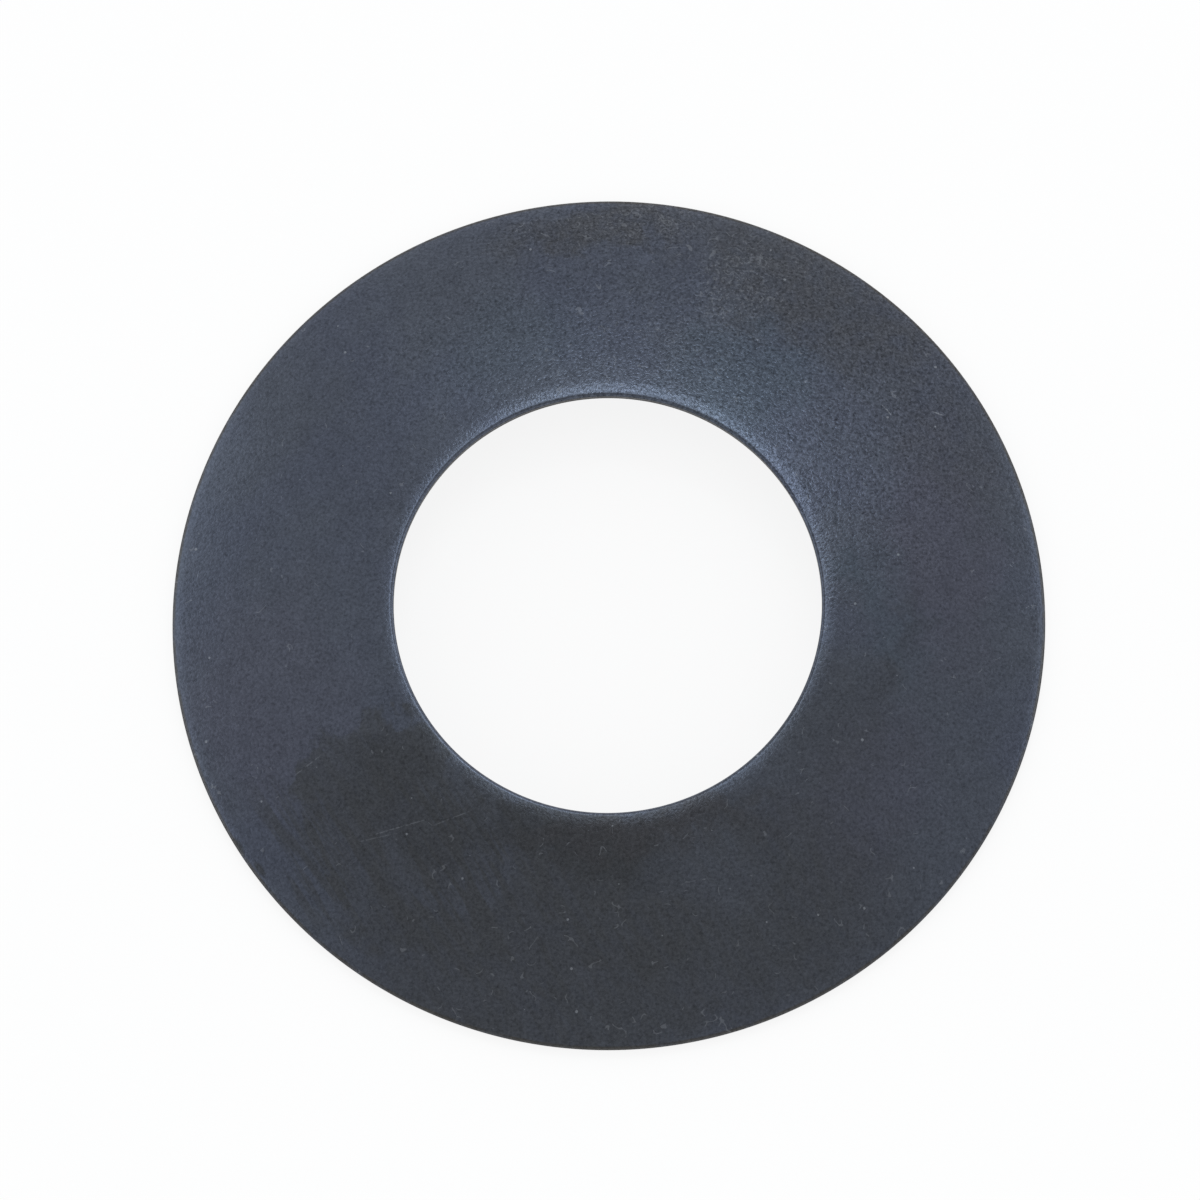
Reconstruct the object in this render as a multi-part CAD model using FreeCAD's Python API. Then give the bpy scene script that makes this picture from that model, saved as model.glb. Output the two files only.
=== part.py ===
import FreeCAD, Part
import math
import os

# A dished thrust washer, pressed from steel sheet. It sits between the
# spherical back of a differential pinion gear and the spherical seat in the
# case. The cross shaft passes through its bore.
#
# The origin is on the axis, in the plane that the rim rests on. +Z runs along
# the axis, towards the convex face. All sizes are in millimetres.

# The blank
outside_diameter = 45.85
bore_diameter = 22.35
sheet_thickness = 0.80

# The dish: both faces are spheres about one centre on the axis
convex_seat_radius = 50.80

# Beside each cut edge the punch draws the convex face down in a soft arc
bore_roll_width = 1.00
rim_roll_width = 0.60
roll_over_radius = 5.00

# The mouth of the bore is rounded, so that the shaft enters without catching
bore_mouth_radius = 0.20

# Tumbling breaks the other corners: both at the rim, and the burr at the bore
edge_break = 0.12

# Worked out from the driving dimensions
bore_radius = bore_diameter / 2
rim_radius = outside_diameter / 2
concave_seat_radius = convex_seat_radius - sheet_thickness

ORIGIN = FreeCAD.Vector(0, 0, 0)
OUTWARD = FreeCAD.Vector(1, 0, 0)
AXIS = FreeCAD.Vector(0, 0, 1)
FULL_TURN = 360

# The section is drawn in the XZ plane, with the centre of both faces at the
# origin. Once whole, it is moved down onto the plane Z = 0.


def height_of_arc(radius, sideways):
    """How far an arc stands above its centre, at a distance to one side."""
    return math.sqrt(radius**2 - sideways**2)


def on_face(face_radius, distance):
    """The point of a spherical face at a given distance from the axis."""
    return FreeCAD.Vector(distance, 0, height_of_arc(face_radius, distance))


def bore_points():
    """The points of the section at the bore, whose wall follows the axis."""
    roll_start = on_face(convex_seat_radius, bore_radius + bore_roll_width)
    roll_centre = roll_start * (1 - roll_over_radius / convex_seat_radius)

    # The mouth's arc lies inside the roll-over arc and touches it
    mouth_distance = bore_radius + bore_mouth_radius
    between_centres = roll_over_radius - bore_mouth_radius
    rise = height_of_arc(between_centres, mouth_distance - roll_centre.x)
    mouth_centre = FreeCAD.Vector(mouth_distance, 0, roll_centre.z + rise)
    to_roll_end = (mouth_centre - roll_centre).normalize() * roll_over_radius

    return {
        "roll_start": roll_start,
        "roll_centre": roll_centre,
        "roll_end": roll_centre + to_roll_end,
        "mouth_centre": mouth_centre,
        "wall_top": mouth_centre - OUTWARD * bore_mouth_radius,
        "wall_foot": on_face(concave_seat_radius, bore_radius) + AXIS * edge_break,
        "concave_end": on_face(concave_seat_radius, bore_radius + edge_break),
    }


def rim_points():
    """The points of the section at the rim, whose wall stands square to the
    sheet. The top of that wall is the widest part of the washer."""
    roll_start = on_face(convex_seat_radius, rim_radius - rim_roll_width)
    across_sheet = roll_start / convex_seat_radius
    along_sheet = FreeCAD.Vector(across_sheet.z, 0, -across_sheet.x)
    centre_height = convex_seat_radius - roll_over_radius

    # The wall's top, one edge break below the roll-over arc, has to lie on the
    # outside diameter. That gives the turn of the arc from its start to the wall.
    sheet_lean = math.asin(across_sheet.x)
    width_at_wall = rim_roll_width + (roll_over_radius + edge_break) * across_sheet.x
    turn_to_wall = math.asin(width_at_wall / roll_over_radius) - sheet_lean
    wall_reach = roll_over_radius * math.sin(turn_to_wall)
    break_reach = wall_reach - edge_break

    roll_end_height = centre_height + height_of_arc(roll_over_radius, break_reach)
    sharp_height = centre_height + height_of_arc(roll_over_radius, wall_reach)
    burr_height = height_of_arc(concave_seat_radius, wall_reach)
    concave_height = height_of_arc(concave_seat_radius, break_reach)

    def place(reach, height):
        return along_sheet * reach + across_sheet * height

    return {
        "roll_start": roll_start,
        "roll_centre": place(0, centre_height),
        "roll_end": place(break_reach, roll_end_height),
        "wall_top": place(wall_reach, sharp_height - edge_break),
        "wall_foot": place(wall_reach, burr_height + edge_break),
        "concave_end": place(break_reach, concave_height),
    }


def line(start, end):
    return Part.LineSegment(start, end).toShape()


def arc(centre, start, end):
    """The shorter arc about a centre, from one point of it to another."""
    radius = (start - centre).Length
    to_middle = (start - centre + end - centre).normalize() * radius
    return Part.Arc(start, centre + to_middle, end).toShape()


def washer_section():
    """The closed outline of the section, from the bore wall round, as a face."""
    bore = bore_points()
    rim = rim_points()
    outline = Part.Wire(
        [
            line(bore["wall_foot"], bore["wall_top"]),
            arc(bore["mouth_centre"], bore["wall_top"], bore["roll_end"]),
            arc(bore["roll_centre"], bore["roll_end"], bore["roll_start"]),
            arc(ORIGIN, bore["roll_start"], rim["roll_start"]),
            arc(rim["roll_centre"], rim["roll_start"], rim["roll_end"]),
            line(rim["roll_end"], rim["wall_top"]),
            line(rim["wall_top"], rim["wall_foot"]),
            line(rim["wall_foot"], rim["concave_end"]),
            arc(ORIGIN, rim["concave_end"], bore["concave_end"]),
            line(bore["concave_end"], bore["wall_foot"]),
        ]
    )
    lowest = min(rim["concave_end"].z, rim["wall_foot"].z)
    outline.translate(AXIS * -lowest)
    return Part.Face(outline)


def describe(washer):
    """Prints the sizes that a drawing of the washer would state."""
    box = washer.optimalBoundingBox(False)
    print(f"valid {washer.isValid()}, volume {washer.Volume:.2f} mm3")
    print(f"{box.XLength:.3f} x {box.YLength:.3f} x {box.ZLength:.3f} mm")
    print(f"lowest point at Z {box.ZMin:.6f}")
    for face in washer.Faces:
        surface = face.Surface
        if isinstance(surface, Part.Sphere):
            print(f"face radius {surface.Radius:.3f}, centre at Z {surface.Center.z:.4f}")
        if isinstance(surface, Part.Cylinder):
            wall = face.BoundBox
            print(f"bore wall from Z {wall.ZMin:.4f} to {wall.ZMax:.4f}")


def main():
    os.makedirs("parts", exist_ok=True)
    washer = washer_section().revolve(ORIGIN, AXIS, FULL_TURN)
    washer.exportStep("parts/thrust_washer.step")
    describe(washer)


main()
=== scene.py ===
import math

import bpy
from mathutils import Euler, Matrix, Vector


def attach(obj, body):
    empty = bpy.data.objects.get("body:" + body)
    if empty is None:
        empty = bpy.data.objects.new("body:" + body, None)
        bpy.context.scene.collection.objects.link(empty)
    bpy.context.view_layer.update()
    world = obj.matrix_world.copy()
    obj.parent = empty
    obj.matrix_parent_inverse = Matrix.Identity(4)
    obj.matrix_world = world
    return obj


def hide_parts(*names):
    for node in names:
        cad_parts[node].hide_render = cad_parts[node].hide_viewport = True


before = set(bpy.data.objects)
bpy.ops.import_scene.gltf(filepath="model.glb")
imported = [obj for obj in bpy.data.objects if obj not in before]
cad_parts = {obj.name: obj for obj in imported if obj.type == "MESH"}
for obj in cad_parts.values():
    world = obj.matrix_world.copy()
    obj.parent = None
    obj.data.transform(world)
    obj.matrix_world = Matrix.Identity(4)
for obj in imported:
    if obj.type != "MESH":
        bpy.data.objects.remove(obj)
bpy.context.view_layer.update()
print("frame loaded with", sorted(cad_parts))

mm = 0.001
fullTurn = 2 * math.pi
originPoint = (0, 0, 0)
washerAxis = (0, 0, 1)
acrossSection = (0, 1, 0)
white = (1, 1, 1, 1)
noiseMiddle = 0.5   # a noise swings evenly about this value


def deselectAll():
    if bpy.context.object and bpy.context.object.mode != "OBJECT":
        bpy.ops.object.mode_set(mode="OBJECT")
    bpy.ops.object.select_all(action="DESELECT")


# The camera: a long lens, a little in front of straight overhead

photoCamera = {
    "distance": 0.600,       # metres from the washer's origin
    "tilt": 13.54,           # degrees off straight down, towards the front
    "roll": 3.10,            # degrees that the picture is turned anticlockwise
    "lookUp": 0.1235,        # degrees, so that the washer sits low in the frame
    "lookLeft": 0.0443,
    "lens": 342.35,
    "sensor": 36.0,
    "nearest": 0.05,         # metres, between which the camera sees
    "farthest": 50.0,
}


def addCamera(spec):
    tilt = math.radians(spec["tilt"])
    turn = Euler((tilt, 0, 0)).to_matrix()
    turn = turn @ Matrix.Rotation(math.radians(-spec["roll"]), 3, "Z")
    turn = turn @ Matrix.Rotation(math.radians(spec["lookUp"]), 3, "X")
    turn = turn @ Matrix.Rotation(math.radians(spec["lookLeft"]), 3, "Y")
    spot = Vector((0, -math.sin(tilt), math.cos(tilt))) * spec["distance"]
    bpy.ops.object.camera_add(location=spot, rotation=turn.to_euler())
    camera = bpy.context.object
    camera.name = "photoCamera"
    camera.data.lens = spec["lens"]
    camera.data.sensor_width = spec["sensor"]
    camera.data.clip_start = spec["nearest"]
    camera.data.clip_end = spec["farthest"]
    bpy.context.scene.camera = camera


deselectAll()
addCamera(photoCamera)
print("camera placed")


# Node helpers. A value is a plain number or colour, or a socket to link.


def addNode(tree, kind, settings=None, inputs=None):
    made = tree.nodes.new("ShaderNode" + kind)
    for name, value in (settings or {}).items():
        setattr(made, name, value)
    for name, value in (inputs or {}).items():
        if isinstance(value, bpy.types.NodeSocket):
            tree.links.new(value, made.inputs[name])
        else:
            made.inputs[name].default_value = value
    return made


def calc(tree, operation, first, second=0.0, clamped=False):
    settings = {"operation": operation, "use_clamp": clamped}
    return addNode(tree, "Math", settings, {0: first, 1: second}).outputs[0]


def times(tree, first, second):
    return calc(tree, "MULTIPLY", first, second)


def plus(tree, first, second):
    return calc(tree, "ADD", first, second)


def larger(tree, first, second):
    return calc(tree, "MAXIMUM", first, second)


def spread(tree, value, low, high, toLow=0.0, toHigh=1.0):
    # a smooth step from toLow at low to toHigh at high
    inputs = {"Value": value, "From Min": low, "From Max": high, "To Min": toLow, "To Max": toHigh}
    return addNode(tree, "MapRange", {"interpolation_type": "SMOOTHSTEP"}, inputs).outputs[0]


def split(tree, vector):
    return addNode(tree, "SeparateXYZ", None, {0: vector}).outputs


def blendColours(tree, share, under, over, mode="MIX"):
    settings = {"data_type": "RGBA", "blend_type": mode}
    return addNode(tree, "Mix", settings, {0: share, 6: under, 7: over}).outputs[2]


def shadeBy(tree, colour, level):
    # the colour made darker or lighter, with its hue kept
    grey = addNode(tree, "CombineXYZ", None, {0: level, 1: level, 2: level}).outputs[0]
    return blendColours(tree, 1.0, colour, grey, "MULTIPLY")


def remap(tree, spot, **inputs):
    # the same places turned or stretched
    values = {"Vector": spot, **inputs}
    return addNode(tree, "Mapping", {"vector_type": "POINT"}, values).outputs[0]


def noise(tree, spot, kind, output="Fac"):
    size, detail, roughness, distortion = kind
    inputs = {
        "Vector": spot,
        "Scale": 1 / size,
        "Detail": detail,
        "Roughness": roughness,
        "Distortion": distortion,
    }
    return addNode(tree, "TexNoise", None, inputs).outputs[output]


# The light: three soft boxes overhead and behind, a low card on each side, and a room
# that is brighter near the horizon

studio = {
    "lampColour": (0.90, 1.0, 1.08),
    # azimuth 0 is the right of the picture and 90 its top; lean is measured from overhead
    "lamps": {
        "softBox": {
            "lean": 28, "azimuth": 71.5, "distance": 0.80,
            "size": (0.35, 0.09), "watts": 0.39,
        },
        "fillBox": {
            "lean": 41, "azimuth": 80, "distance": 0.80,
            "size": (0.90, 0.24), "watts": 0.22,
        },
        "stripBox": {
            "lean": 15.5, "azimuth": 88, "distance": 0.80,
            "size": (0.20, 0.51), "watts": 0.60,
        },
        "leftCard": {
            "lean": 72, "azimuth": 168, "distance": 0.90,
            "size": (1.10, 0.45), "watts": 1.05,
        },
        "rightCard": {
            "lean": 74, "azimuth": 9, "distance": 0.90,
            "size": (0.70, 0.30), "watts": 0.60,
        },
    },
    # a level is the heights or depths that it changes between, and its value at each
    "upLevel": (0.0, 0.55, 1.30, 0.70),
    "backLevel": (-0.4, 0.6, 1.0, 1.09),
}


def addSoftLight(name, spec, colour):
    lean = math.radians(spec["lean"])
    azimuth = math.radians(spec["azimuth"])
    sideways = math.sin(lean)
    outward = Vector((sideways * math.cos(azimuth), sideways * math.sin(azimuth), math.cos(lean)))
    facing = outward.to_track_quat("Z", "Y").to_euler()
    bpy.ops.object.light_add(type="AREA", location=outward * spec["distance"], rotation=facing)
    lamp = bpy.context.object
    lamp.name = name
    lamp.data.shape = "RECTANGLE"
    lamp.data.size, lamp.data.size_y = spec["size"]
    lamp.data.energy = spec["watts"]
    lamp.data.color = colour


def makeStudioWorld(spec):
    world = bpy.data.worlds.new("studioWorld")
    world.use_nodes = True
    tree = world.node_tree
    roomLight = tree.nodes["Background"]
    roomLight.inputs["Color"].default_value = white
    direction = split(tree, addNode(tree, "TexCoord").outputs["Generated"])
    level = spread(tree, direction["Z"], *spec["upLevel"])
    level = times(tree, level, spread(tree, direction["Y"], *spec["backLevel"]))
    tree.links.new(level, roomLight.inputs["Strength"])
    return world


for lampName, lampSpec in studio["lamps"].items():
    addSoftLight(lampName, lampSpec, studio["lampColour"])
bpy.context.scene.world = makeStudioWorld(studio)
bpy.context.scene.view_settings.view_transform = "Standard"
print("lights placed")


# The floor: plain and pale, white to the camera, with a part of the washer's shadow kept

floorLook = {
    "size": 8.0,
    "colour": (0.95, 0.95, 0.95, 1),
    "glow": 1.0,
    "shadowKept": 0.14,
}


def makeFloorMaterial(spec):
    material = bpy.data.materials.new("paleFloor")
    material.use_nodes = True
    tree = material.node_tree
    tree.nodes.clear()
    rays = addNode(tree, "LightPath").outputs
    seen = larger(tree, rays["Is Camera Ray"], rays["Is Glossy Ray"])
    seen = larger(tree, seen, rays["Is Transmission Ray"])
    share = times(tree, seen, 1 - spec["shadowKept"])
    matt = addNode(tree, "BsdfDiffuse", None, {"Color": spec["colour"]})
    glow = addNode(tree, "Emission", None, {"Color": white, "Strength": spec["glow"]})
    mixed = addNode(tree, "MixShader", None, {0: share, 1: matt.outputs[0], 2: glow.outputs[0]})
    addNode(tree, "OutputMaterial", None, {"Surface": mixed.outputs[0]})
    return material


deselectAll()
bpy.ops.mesh.primitive_plane_add(size=floorLook["size"], location=originPoint)
floor = bpy.context.object
floor.name = "floor"
floor.data.materials.append(makeFloorMaterial(floorLook))
print("floor laid")


# The washer: its section is drawn as a line of points, then spun round the axis.
# All sizes are in millimetres, as on the washer's drawing.

washer = {
    "outsideDiameter": 45.85,
    "boreDiameter": 22.35,
    "sheetThickness": 0.80,
    "convexSeatRadius": 50.80,
    "seatCentreDrop": 44.63,   # how far the centre of both faces lies below the floor
    "boreRollWidth": 1.00,
    "rimRollWidth": 0.60,
    "rollOverRadius": 5.00,
    "boreMouthRadius": 0.20,
    "edgeBreak": 0.12,
    "breakFullness": 0.8,      # how far a broken edge swells out, from 0 flat to 1 full
    "boreTaper": 0.02,         # the torn part of the bore wall opens out by this much
    "rimTaper": 0.02,          # and the torn part of the rim wall falls back by this much
    "cornerAllowance": 0.010,  # keeps the rounded corner of the rim inside the outside diameter
    "burnished": 0.50,         # share of each wall that the punch left smooth
    "faceSteps": 30,
    "rollSteps": 10,
    "mouthSteps": 8,
    "breakSteps": 4,
    "wallSteps": 2,            # for each half of a wall
    "roundSteps": 384,
    "mergeDistance": 0.0005,
    "smoothAngle": 35,         # degrees, above which an edge stays sharp
}


def heightOfArc(radius, sideways):
    return math.sqrt(radius**2 - sideways**2)


def onFace(faceRadius, distance):
    return Vector((distance, 0, heightOfArc(faceRadius, distance)))


def borePoints(spec):
    boreRadius = spec["boreDiameter"] / 2
    concaveRadius = spec["convexSeatRadius"] - spec["sheetThickness"]
    rollRadius = spec["rollOverRadius"]
    mouthRadius = spec["boreMouthRadius"]
    rollStart = onFace(spec["convexSeatRadius"], boreRadius + spec["boreRollWidth"])
    rollCentre = rollStart * (1 - rollRadius / spec["convexSeatRadius"])

    # the mouth's arc lies inside the roll-over arc and touches it
    mouthDistance = boreRadius + mouthRadius
    rise = heightOfArc(rollRadius - mouthRadius, mouthDistance - rollCentre.x)
    mouthCentre = Vector((mouthDistance, 0, rollCentre.z + rise))
    rollEnd = rollCentre + (mouthCentre - rollCentre).normalized() * rollRadius

    wallTop = mouthCentre - Vector((mouthRadius, 0, 0))
    wallFoot = onFace(concaveRadius, boreRadius) + Vector((spec["boreTaper"], 0, spec["edgeBreak"]))
    tornTop = wallTop + (wallFoot - wallTop) * spec["burnished"]
    tornTop.x = boreRadius
    return {
        "rollStart": rollStart,
        "rollCentre": rollCentre,
        "rollEnd": rollEnd,
        "mouthCentre": mouthCentre,
        "wallTop": wallTop,
        "tornTop": tornTop,
        "wallFoot": wallFoot,
        "concaveEnd": onFace(concaveRadius, boreRadius + spec["edgeBreak"] + spec["boreTaper"]),
    }


def rimPoints(spec):
    rimRadius = spec["outsideDiameter"] / 2
    convexRadius = spec["convexSeatRadius"]
    concaveRadius = convexRadius - spec["sheetThickness"]
    rollRadius = spec["rollOverRadius"]
    edgeBreak = spec["edgeBreak"]
    rollStart = onFace(convexRadius, rimRadius - spec["rimRollWidth"])
    acrossSheet = rollStart / convexRadius
    alongSheet = Vector((acrossSheet.z, 0, -acrossSheet.x))
    centreHeight = convexRadius - rollRadius

    # the wall stands square to the sheet, and its top is the widest part of the washer
    widthAtWall = spec["rimRollWidth"] + (rollRadius + edgeBreak) * acrossSheet.x
    turnToWall = math.asin(widthAtWall / rollRadius) - math.asin(acrossSheet.x)
    wallReach = rollRadius * math.sin(turnToWall) - spec["cornerAllowance"]
    breakReach = wallReach - edgeBreak
    footReach = wallReach - spec["rimTaper"]
    concaveReach = footReach - edgeBreak

    wallTopHeight = centreHeight + heightOfArc(rollRadius, wallReach) - edgeBreak
    wallFootHeight = heightOfArc(concaveRadius, wallReach) + edgeBreak
    tornHeight = wallTopHeight + (wallFootHeight - wallTopHeight) * spec["burnished"]

    def place(reach, height):
        return alongSheet * reach + acrossSheet * height

    return {
        "rollStart": rollStart,
        "rollCentre": place(0, centreHeight),
        "rollEnd": place(breakReach, centreHeight + heightOfArc(rollRadius, breakReach)),
        "wallTop": place(wallReach, wallTopHeight),
        "tornTop": place(wallReach, tornHeight),
        "wallFoot": place(footReach, wallFootHeight),
        "concaveEnd": place(concaveReach, heightOfArc(concaveRadius, concaveReach)),
    }


def startPoint(name, spot):
    # a small plane merged to one point is where the section starts
    bpy.ops.mesh.primitive_plane_add(size=mm, location=originPoint)
    piece = bpy.context.object
    piece.name = name
    bpy.ops.object.mode_set(mode="EDIT")
    bpy.ops.mesh.select_mode(type="VERT")
    bpy.ops.mesh.select_all(action="SELECT")
    bpy.ops.mesh.merge(type="CENTER")
    bpy.ops.transform.translate(value=spot * mm)
    return piece


def drawLine(start, end, steps=1):
    for _ in range(steps):
        step = (end - start) * mm / steps
        bpy.ops.mesh.extrude_region_move(TRANSFORM_OT_translate={"value": step})


def drawArc(centre, start, end, steps):
    first, last = start - centre, end - centre
    turn = math.atan2(last.z, last.x) - math.atan2(first.z, first.x)
    bpy.ops.mesh.spin(steps=steps, angle=turn, center=centre * mm, axis=acrossSection)


def drawSoftCorner(start, end, corner, spec):
    # a broken edge, rounded a little: the points lean towards the sharp corner
    before = start
    for step in range(1, spec["breakSteps"] + 1):
        share = step / spec["breakSteps"]
        along = start.lerp(end, share)
        after = along + (corner - along) * 2 * share * (1 - share) * spec["breakFullness"]
        drawLine(before, after)
        before = after


def drawSection(name, spec):
    bore, rim = borePoints(spec), rimPoints(spec)
    lowest = min(rim["concaveEnd"].z, rim["wallFoot"].z) - spec["cornerAllowance"]
    faceCentre = Vector((0, 0, -lowest))
    for point in (*bore.values(), *rim.values()):
        point += faceCentre

    # up the bore wall, round its mouth and over the convex face to the rim
    piece = startPoint(name, bore["wallFoot"])
    drawLine(bore["wallFoot"], bore["tornTop"], spec["wallSteps"])
    drawLine(bore["tornTop"], bore["wallTop"], spec["wallSteps"])
    drawArc(bore["mouthCentre"], bore["wallTop"], bore["rollEnd"], spec["mouthSteps"])
    drawArc(bore["rollCentre"], bore["rollEnd"], bore["rollStart"], spec["rollSteps"])
    drawArc(faceCentre, bore["rollStart"], rim["rollStart"], spec["faceSteps"])
    drawArc(rim["rollCentre"], rim["rollStart"], rim["rollEnd"], spec["rollSteps"])

    # down the rim wall, which has a broken edge above and below
    upWall = (rim["wallTop"] - rim["tornTop"]).normalized() * spec["edgeBreak"]
    drawSoftCorner(rim["rollEnd"], rim["wallTop"], rim["wallTop"] + upWall, spec)
    drawLine(rim["wallTop"], rim["tornTop"], spec["wallSteps"])
    drawLine(rim["tornTop"], rim["wallFoot"], spec["wallSteps"])
    drawSoftCorner(rim["wallFoot"], rim["concaveEnd"], rim["wallFoot"] - upWall, spec)

    # back under the concave face to the start
    drawArc(faceCentre, rim["concaveEnd"], bore["concaveEnd"], spec["faceSteps"])
    boreCorner = bore["wallFoot"] - Vector((0, 0, spec["edgeBreak"]))
    drawSoftCorner(bore["concaveEnd"], bore["wallFoot"], boreCorner, spec)
    return piece


def mergeDoubles(spec):
    bpy.ops.mesh.select_all(action="SELECT")
    bpy.ops.mesh.remove_doubles(threshold=spec["mergeDistance"] * mm)


def spinSection(spec):
    mergeDoubles(spec)
    bpy.ops.mesh.select_all(action="SELECT")
    turns = {"steps": spec["roundSteps"], "angle": fullTurn}
    bpy.ops.mesh.spin(center=originPoint, axis=washerAxis, **turns)
    mergeDoubles(spec)
    bpy.ops.mesh.normals_make_consistent(inside=False)
    bpy.ops.object.mode_set(mode="OBJECT")
    bpy.ops.object.shade_smooth_by_angle(angle=math.radians(spec["smoothAngle"]))


deselectAll()
washerRing = drawSection("washerRing", washer)
spinSection(washer)
washerMesh = washerRing.data
print("washer spun:", len(washerMesh.vertices), "points,", len(washerMesh.polygons), "faces")


# The finish: a dark blue-grey phosphate coat, with oil left along the front.
# Places on the convex face and all sizes are in millimetres.
# A noise is its size, its detail, its roughness and its distortion.
# A patch is its centre, its half-widths, how far it is turned in degrees, its strength,
# and the share of it that fades.
# A fade is the two values that it runs between, and then what it gives at each, which is
# 0 and 1 if left out.

oiledDark = (0.0430, 0.0465, 0.0520, 1)

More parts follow.
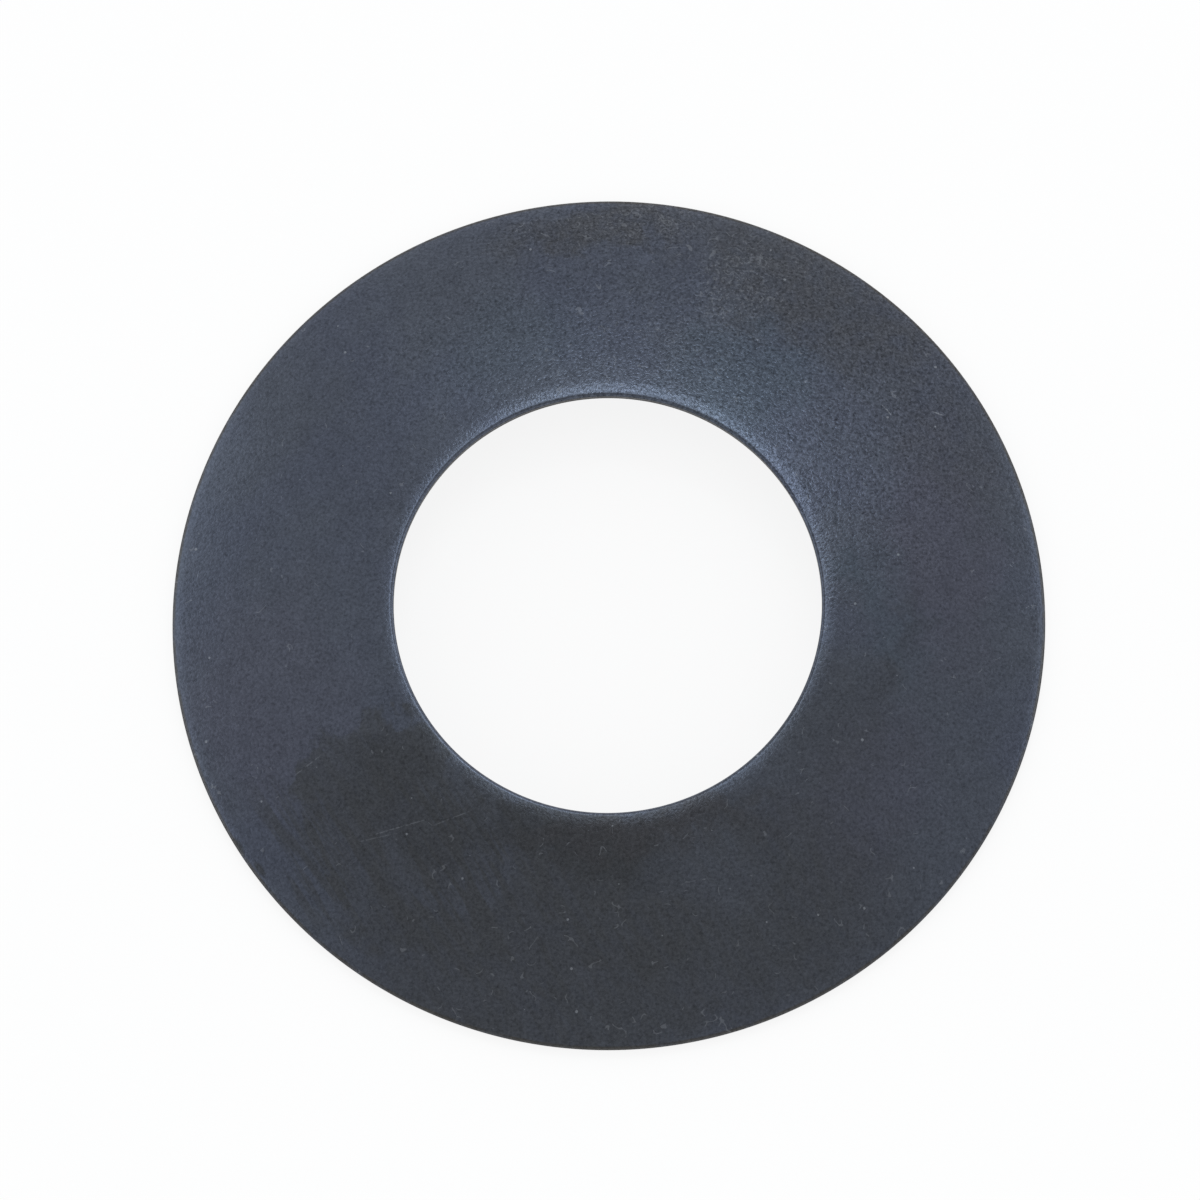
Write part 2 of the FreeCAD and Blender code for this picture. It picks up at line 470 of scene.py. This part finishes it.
coat = {
    # the coat itself, in broad clouds
    "blue": (0.0690, 0.0795, 0.1085, 1),
    "grey": (0.0710, 0.0815, 0.1050, 1),
    "clouds": (6.5, 3.0, 0.55, 0.0),
    "cloudFade": (0.35, 0.65),
    "mottle": (1.1, 3.0, 0.60, 0.0),
    "mottleLevel": (0.25, 0.75, 0.96, 1.04),
    "mottleHeight": 0.006,
    "metallic": 0.92,
    "roughness": 0.26,
    "mottleRoughness": (0.25, 0.75, 0.92, 1.08),

    # outlines wander by two noises, each with its reach
    "wander": [
        ((2.5, 2.0, 0.60, 0.0), 5.0),
        ((1 / 2.2, 2.0, 0.60, 0.0), 1.5),
    ],

    # the grain of its crystals, coarser at the back right
    "grain": (0.155, 1.5, 0.60, 0.5),
    "grainContrast": 0.58,
    "grainHeight": 0.030,
    "grainBump": 0.45,
    "coarseContrast": 0.50,
    "coarseBump": 0.33,
    "coarsePlaces": [
        ((10.6, 10.8), (9.8, 9.0), 0, 1.05, 0.50),
        ((1.0, 14.5), (11.0, 5.0), 0, 0.70, 0.50),
        ((1.0, 20.9), (6.0, 2.2), 0, 0.90, 0.50),
    ],

    # places of another hue
    "teal": {
        "colour": (0.0600, 0.0830, 0.1080, 1),
        "places": [
            ((14.9, -1.2), (1.7, 3.6), 15, 0.35, 0.60),
            ((8.1, 11.8), (3.6, 2.8), 0, 0.35, 0.60),
            ((-4.5, 14.5), (3.6, 2.6), 20, 0.20, 0.60),
        ],
    },
    "lavender": {
        "colour": (0.0775, 0.0800, 0.1080, 1),
        "places": [
            ((-17.6, -3.4), (3.8, 5.4), 0, 0.60, 0.60),
            ((17.6, 2.6), (3.0, 6.0), 0, 0.60, 0.60),
            ((12.8, -11.0), (3.0, 5.0), -30, 0.40, 0.60),
        ],
    },
    "brown": {
        "colour": (0.0615, 0.0665, 0.0785, 1),
        "places": [
            ((11.3, 17.1), (7.4, 3.0), -38, 0.90, 0.50),
            ((0.6, 21.2), (4.8, 1.4), 4, 1.00, 0.50),
            ((18.5, 9.0), (3.0, 5.0), 25, 0.50, 0.60),
        ],
    },
    "brownFade": (0.30, 0.60, 0.45, 1.0),

    # oil along the front, pooled and browner in places
    "oil": {
        "colour": (0.0545, 0.0590, 0.0670, 1),
        "places": [
            ((-12.6, -8.0), (4.3, 2.5), 14, 1.00, 0.10),
            ((-12.1, -11.0), (4.5, 4.4), 0, 0.95, 0.16),
            ((-12.9, -14.2), (2.4, 3.4), 25, 0.85, 0.40),
            ((-3.3, -15.0), (10.5, 5.4), 0, 0.95, 0.22),
            ((-7.8, -9.4), (2.5, 1.5), -38, 0.70, 0.50),
            ((5.0, -16.1), (9.0, 5.9), 0, 0.80, 0.50),
            ((-3.0, -19.4), (11.5, 4.4), 0, 0.80, 0.35),
            ((10.9, -7.6), (3.0, 4.4), -38, 0.50, 0.60),
            ((9.8, -14.6), (3.2, 4.6), -30, 0.60, 0.60),
        ],
    },
    "oilFade": (0.25, 0.50, 0.80, 1.0),
    "oilPool": {
        "colour": oiledDark,
        "places": [
            ((-1.9, -12.9), (6.4, 1.5), -16, 0.70, 0.50),
            ((-12.2, -8.6), (3.0, 1.6), 25, 0.385, 0.50),
            ((-10.0, -11.6), (2.6, 1.8), -50, 0.42, 0.50),
        ],
    },
    "oilBrown": {
        "colour": (0.0520, 0.0530, 0.0590, 1),
        "places": [((1.4, -12.1), (6.0, 1.1), 4, 0.65, 0.60)],
    },

    # where the oil was wiped, in streaks
    "wipes": [
        ((-16.1, -11.9), (2.2, 4.4), 28, 1.00, 0.40),
        ((-8.8, -12.3), (3.2, 3.6), 30, 1.00, 0.40),
    ],
    "wipeTurn": -61,
    "streaks": (1.0, 2.0, 0.60, 0.0),
    "streakStretch": (0.12, 1.7, 1.0),
    "streakFade": (0.45, 0.57),
    "wipedAway": 0.80,       # share of the oil that a wipe took in its streaks
    "thinned": 0.18,         # and that is missing in streaks elsewhere
    "smeared": 0.72,         # share of oil that it left in them where there was none

    # pale places, dark marks and two nicks at the rim
    "pale": {
        "colour": (0.0860, 0.1000, 0.1330, 1),
        "places": [
            ((-19.8, 6.3), (2.6, 5.6), 8, 0.175, 0.60),
            ((4.1, -14.6), (2.7, 1.9), 0, 0.28, 0.60),
            ((-16.0, -0.5), (4.5, 7.5), 0, 0.35, 0.70),
        ],
    },
    "darkMarks": {
        "colour": oiledDark,
        "places": [
            ((16.0, -1.3), (0.5, 2.1), -18, 0.24, 0.50),
            ((14.0, -4.7), (1.5, 1.2), 0, 0.20, 0.50),
        ],
    },
    "nicks": {
        "colour": oiledDark,
        "places": [
            ((-19.96, -11.0), (0.48, 0.16), -60, 0.80, 0.50),
            ((-18.91, -12.31), (0.44, 0.16), -56, 0.80, 0.50),
        ],
    },

    # one side of the bore's mouth is painted lighter, as a painted highlight, on the side that this
    # circle, a little off centre, reaches
    "mouthPaintedHighlight": {
        "colour": (0.0890, 0.1020, 0.1340, 1),
        "places": [((-0.10, -0.06), (11.26, 11.26), 0, 0.90, 0.005)],
    },

    # a thin brown line round the rim, outside this circle
    "rimBrown": (0.0560, 0.0530, 0.0480, 1),
    "rimBrownShare": 0.75,
    "insideRim": [((0, 0), (22.76, 22.76), 0, 1.00, 0.003)],
    "rimFade": (0.30, 0.55, 0.40, 1.0),

    # the cut walls, with the punch's drag lines, in a dark colour that is partly the cut steel's
    # own and partly painted shade;
    # they are where the height of the normal lies between the two fades wallAbove and wallBelow
    "burnishedCutAndShade": (0.0490, 0.0485, 0.0515, 1),
    "tornCutAndShade": (0.0400, 0.0390, 0.0400, 1),
    "burnishedRoughness": 0.38,
    "tornRoughness": 0.62,
    "wallAbove": (-0.80, -0.65),
    "wallBelow": (0.50, 0.20),
    "drag": (1.0, 2.0, 0.60, 0.0),
    "dragStretch": (5.0, 5.0, 0.5),
    "dragLevel": (0.30, 0.70, 0.80, 1.20),
    "dragHeight": 0.020,

    # what lies on the coat, all of one colour
    "stray": (0.26, 0.28, 0.31, 1),
    "strayRoughness": 0.4,
    "scratches": [
        ((-11.5, -11.1), (1.5, 0.03), 10, 0.22, 0.30),
        ((-12.7, -11.5), (1.3, 0.03), 6, 0.13, 0.30),
        ((-8.7, -10.9), (0.9, 0.03), 16, 0.20, 0.30),
        ((-16.1, -7.4), (0.8, 0.03), 31, 0.25, 0.30),
        ((15.2, 10.1), (0.35, 0.04), -52, 0.70, 0.30),
        ((17.9, 10.0), (0.28, 0.04), -19, 0.60, 0.30),
    ],
    "scratchFade": (0.35, 0.60),
    "crust": (0.17, 1.0, 0.60, 0.0),
    "crustFade": (0.55, 0.68),
    "crustPlaces": [
        ((2.9, 21.3), (3.3, 0.9), 4, 0.22, 0.50),
        ((7.6, 17.4), (2.1, 2.3), -30, 0.22, 0.50),
        ((11.2, 18.8), (3.2, 1.6), -38, 0.11, 0.60),
        ((2.5, 15.3), (4.2, 0.9), 0, 0.11, 0.60),
    ],
    "lintCurls": (0.55, 0.0, 0.50, 0.0),
    "lintBreaks": (1 / 1.3, 1.0, 0.50, 0.0),
    "lintWidth": 0.024,
    "lintFade": (0.68, 0.71),
    "lintStrength": 0.22,
    "lintPlaces": [
        ((-2.5, -18.5), (16.5, 6.0), 0, 0.05, 0.40),
        ((7.4, 18.4), (3.4, 3.4), 0, 0.115, 0.50),
        ((1.6, 21.3), (5.6, 1.2), 0, 0.115, 0.50),
        ((2.4, 13.2), (5.0, 1.6), 0, 0.09, 0.50),
    ],
    "dustSpacing": 2.6,
    "dustRadius": 0.075,
    "smallestDust": 0.3,     # share of that radius
    "withoutDust": 0.7,      # share of the places that have none
    "dustStrength": 0.50,
}


def patch(tree, spot, centre, size, turned, fades):
    # 1 inside an ellipse of the convex face, 0 outside, at any height
    anyHeight = 10000
    inputs = {
        "Vector": spot,
        "Location": (*centre, 0),
        "Rotation": (0, 0, math.radians(turned)),
        "Scale": (*size, anyHeight),
    }
    placed = addNode(tree, "Mapping", {"vector_type": "TEXTURE"}, inputs).outputs[0]
    away = addNode(tree, "VectorMath", {"operation": "LENGTH"}, {0: placed}).outputs["Value"]
    return spread(tree, away, 1 - fades, 1 + fades, 1.0, 0.0)


def joinPatches(tree, spot, places):
    together = None
    for centre, size, turned, strength, fades in places:
        one = times(tree, patch(tree, spot, centre, size, turned, fades), strength)
        together = larger(tree, together, one) if together else one
    return together


def layOver(tree, colour, layer, spot, through):
    # a layer's colour over its places, as far as it shows through
    share = times(tree, joinPatches(tree, spot, layer["places"]), through)
    return blendColours(tree, share, colour, layer["colour"])


def pushAbout(tree, spot, kind, reach):
    # the same places pushed about by noise, so that outlines read from them wander
    about = {0: noise(tree, spot, kind, "Color"), 1: (noiseMiddle, noiseMiddle, noiseMiddle)}
    centred = addNode(tree, "VectorMath", {"operation": "SUBTRACT"}, about).outputs[0]
    amount = {0: centred, "Scale": reach}
    scaled = addNode(tree, "VectorMath", {"operation": "SCALE"}, amount).outputs[0]
    return addNode(tree, "VectorMath", {"operation": "ADD"}, {0: spot, 1: scaled}).outputs[0]


def convexSide(tree, spot, drawing):
    # 1 on the convex face and the upper half of the walls, 0 below
    fade = 0.1
    centre = (0, 0, -drawing["seatCentreDrop"])
    apart = addNode(tree, "VectorMath", {"operation": "DISTANCE"}, {0: spot, 1: centre})
    halfway = drawing["convexSeatRadius"] - drawing["sheetThickness"] / 2
    return spread(tree, apart.outputs["Value"], halfway - fade, halfway + fade)


def oilLeft(tree, spec, spot, wandering, mottle):
    # the oil, thinner in the streaks of a wipe, which also smears it past its edge
    along = remap(tree, spot, Rotation=(0, 0, math.radians(-spec["wipeTurn"])))
    stretched = remap(tree, along, Scale=spec["streakStretch"])
    streaks = spread(tree, noise(tree, stretched, spec["streaks"]), *spec["streakFade"])
    wiped = times(tree, joinPatches(tree, spot, spec["wipes"]), streaks)
    taken = times(tree, wiped, spec["wipedAway"])
    taken = larger(tree, taken, times(tree, streaks, spec["thinned"]))
    oil = joinPatches(tree, wandering, spec["oil"]["places"])
    oil = times(tree, oil, spread(tree, mottle, *spec["oilFade"]))
    oil = times(tree, oil, calc(tree, "SUBTRACT", 1.0, taken))
    return larger(tree, oil, times(tree, wiped, spec["smeared"]))


def dustSpecks(tree, spec, spot):
    cells = {"Vector": spot, "Scale": 1 / spec["dustSpacing"]}
    specks = addNode(tree, "TexVoronoi", {"feature": "F1", "voronoi_dimensions": "2D"}, cells)
    chance = addNode(tree, "SeparateColor", None, {0: specks.outputs["Color"]}).outputs
    radius = spread(tree, chance["Green"], 0.0, 1.0, spec["smallestDust"], 1.0)
    radius = times(tree, radius, spec["dustRadius"] / spec["dustSpacing"])
    inside = calc(tree, "LESS_THAN", specks.outputs["Distance"], radius)
    there = calc(tree, "GREATER_THAN", chance["Red"], spec["withoutDust"])
    return times(tree, times(tree, inside, there), spec["dustStrength"])


def curledLint(tree, spec, spot):
    # the lines where a noise crosses its middle, broken up by another noise
    curl = noise(tree, spot, spec["lintCurls"])
    aside = calc(tree, "ABSOLUTE", calc(tree, "SUBTRACT", curl, noiseMiddle))
    onLine = calc(tree, "LESS_THAN", aside, spec["lintWidth"])
    likely = noise(tree, spot, spec["lintBreaks"])
    likely = plus(tree, likely, joinPatches(tree, spot, spec["lintPlaces"]))
    shown = times(tree, onLine, spread(tree, likely, *spec["lintFade"]))
    return times(tree, shown, spec["lintStrength"])


def strayBits(tree, spec, spot, wandering, grain):
    # fine scratches, specks of dust, short curled lint and a crust of pale flecks
    scored = joinPatches(tree, spot, spec["scratches"])
    scored = times(tree, scored, spread(tree, grain, *spec["scratchFade"]))
    crust = spread(tree, noise(tree, spot, spec["crust"]), *spec["crustFade"])
    crust = times(tree, crust, joinPatches(tree, wandering, spec["crustPlaces"]))
    loose = larger(tree, dustSpecks(tree, spec, spot), curledLint(tree, spec, spot))
    return larger(tree, larger(tree, loose, crust), scored)


def makeCoat(spec, drawing):
    material = bpy.data.materials.new("phosphateCoat")
    material.use_nodes = True
    tree = material.node_tree
    shader = tree.nodes["Principled BSDF"]

    # object coordinates in millimetres, and a copy whose outlines wander
    corner = addNode(tree, "TexCoord").outputs
    spot = remap(tree, corner["Object"], Scale=(1 / mm, 1 / mm, 1 / mm))
    wandering = spot
    for kind, reach in spec["wander"]:
        wandering = pushAbout(tree, wandering, kind, reach)

    convex = convexSide(tree, spot, drawing)
    mottle = noise(tree, spot, spec["mottle"])
    grain = noise(tree, spot, spec["grain"])
    coarse = joinPatches(tree, wandering, spec["coarsePlaces"])

    # broad clouds of blue and grey, and places of another hue
    clouds = spread(tree, noise(tree, spot, spec["clouds"]), *spec["cloudFade"])
    colour = blendColours(tree, clouds, spec["blue"], spec["grey"])
    colour = layOver(tree, colour, spec["teal"], wandering, convex)
    colour = layOver(tree, colour, spec["lavender"], wandering, convex)
    mottled = times(tree, spread(tree, mottle, *spec["brownFade"]), convex)
    colour = layOver(tree, colour, spec["brown"], wandering, mottled)

    # the oil, then pale places, dark marks and the nicks
    oil = times(tree, oilLeft(tree, spec, spot, wandering, mottle), convex)
    colour = blendColours(tree, oil, colour, spec["oil"]["colour"])
    for name in ("oilPool", "oilBrown", "pale", "darkMarks"):
        colour = layOver(tree, colour, spec[name], wandering, convex)
    colour = layOver(tree, colour, spec["nicks"], spot, convex)

    # one side of the bore's mouth is painted lighter as a painted highlight, and the coat is
    # browned along the rim
    colour = layOver(tree, colour, spec["mouthPaintedHighlight"], spot, convex)
    inside = joinPatches(tree, spot, spec["insideRim"])
    browned = calc(tree, "SUBTRACT", spec["rimBrownShare"], inside, clamped=True)
    browned = times(tree, browned, spread(tree, mottle, *spec["rimFade"]))
    colour = blendColours(tree, browned, colour, spec["rimBrown"])

    # the cut walls: burnished beside the convex face, torn below, with the punch's drag lines, and
    # darker partly as painted shade
    facing = split(tree, corner["Normal"])["Z"]
    wall = spread(tree, facing, *spec["wallBelow"])
    wall = times(tree, wall, spread(tree, facing, *spec["wallAbove"]))
    drag = noise(tree, remap(tree, spot, Scale=spec["dragStretch"]), spec["drag"])
    cutWallsAndShade = blendColours(tree, convex, spec["tornCutAndShade"], spec["burnishedCutAndShade"])
    cutWallsAndShade = shadeBy(tree, cutWallsAndShade, spread(tree, drag, *spec["dragLevel"]))
    colour = blendColours(tree, wall, colour, cutWallsAndShade)

    # the coat's crystals: a fine grain over everything, coarser towards the back right
    contrast = plus(tree, times(tree, coarse, spec["coarseContrast"]), spec["grainContrast"])
    level = calc(tree, "POWER", times(tree, grain, 1 / noiseMiddle), contrast)
    level = times(tree, level, spread(tree, mottle, *spec["mottleLevel"]))
    colour = shadeBy(tree, colour, level)

    stray = times(tree, strayBits(tree, spec, spot, wandering, grain), convex)
    colour = blendColours(tree, stray, colour, spec["stray"])
    tree.links.new(colour, shader.inputs["Base Color"])
    shader.inputs["Metallic"].default_value = spec["metallic"]

    # duller on the cut walls, and on what lies on the coat
    rough = times(tree, spread(tree, mottle, *spec["mottleRoughness"]), spec["roughness"])
    cutRough = spread(tree, convex, 0.0, 1.0, spec["tornRoughness"], spec["burnishedRoughness"])
    cutRough = times(tree, wall, calc(tree, "SUBTRACT", cutRough, spec["roughness"]))
    rough = plus(tree, plus(tree, rough, cutRough), times(tree, stray, spec["strayRoughness"]))
    tree.links.new(rough, shader.inputs["Roughness"])

    # the relief of the grain, the mottle and the drag lines
    rise = times(tree, grain, spec["grainHeight"])
    rise = plus(tree, rise, times(tree, mottle, spec["mottleHeight"]))
    rise = plus(tree, rise, times(tree, times(tree, drag, wall), spec["dragHeight"]))
    strength = plus(tree, times(tree, coarse, spec["coarseBump"]), spec["grainBump"])
    bump = addNode(tree, "Bump", None, {"Strength": strength, "Distance": mm, "Height": rise})
    tree.links.new(bump.outputs[0], shader.inputs["Normal"])
    return material


washerMesh.materials.clear()
washerMesh.materials.append(makeCoat(coat, washer))
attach(washerRing, "root")
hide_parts("thrust_washer")
print("washer finished")
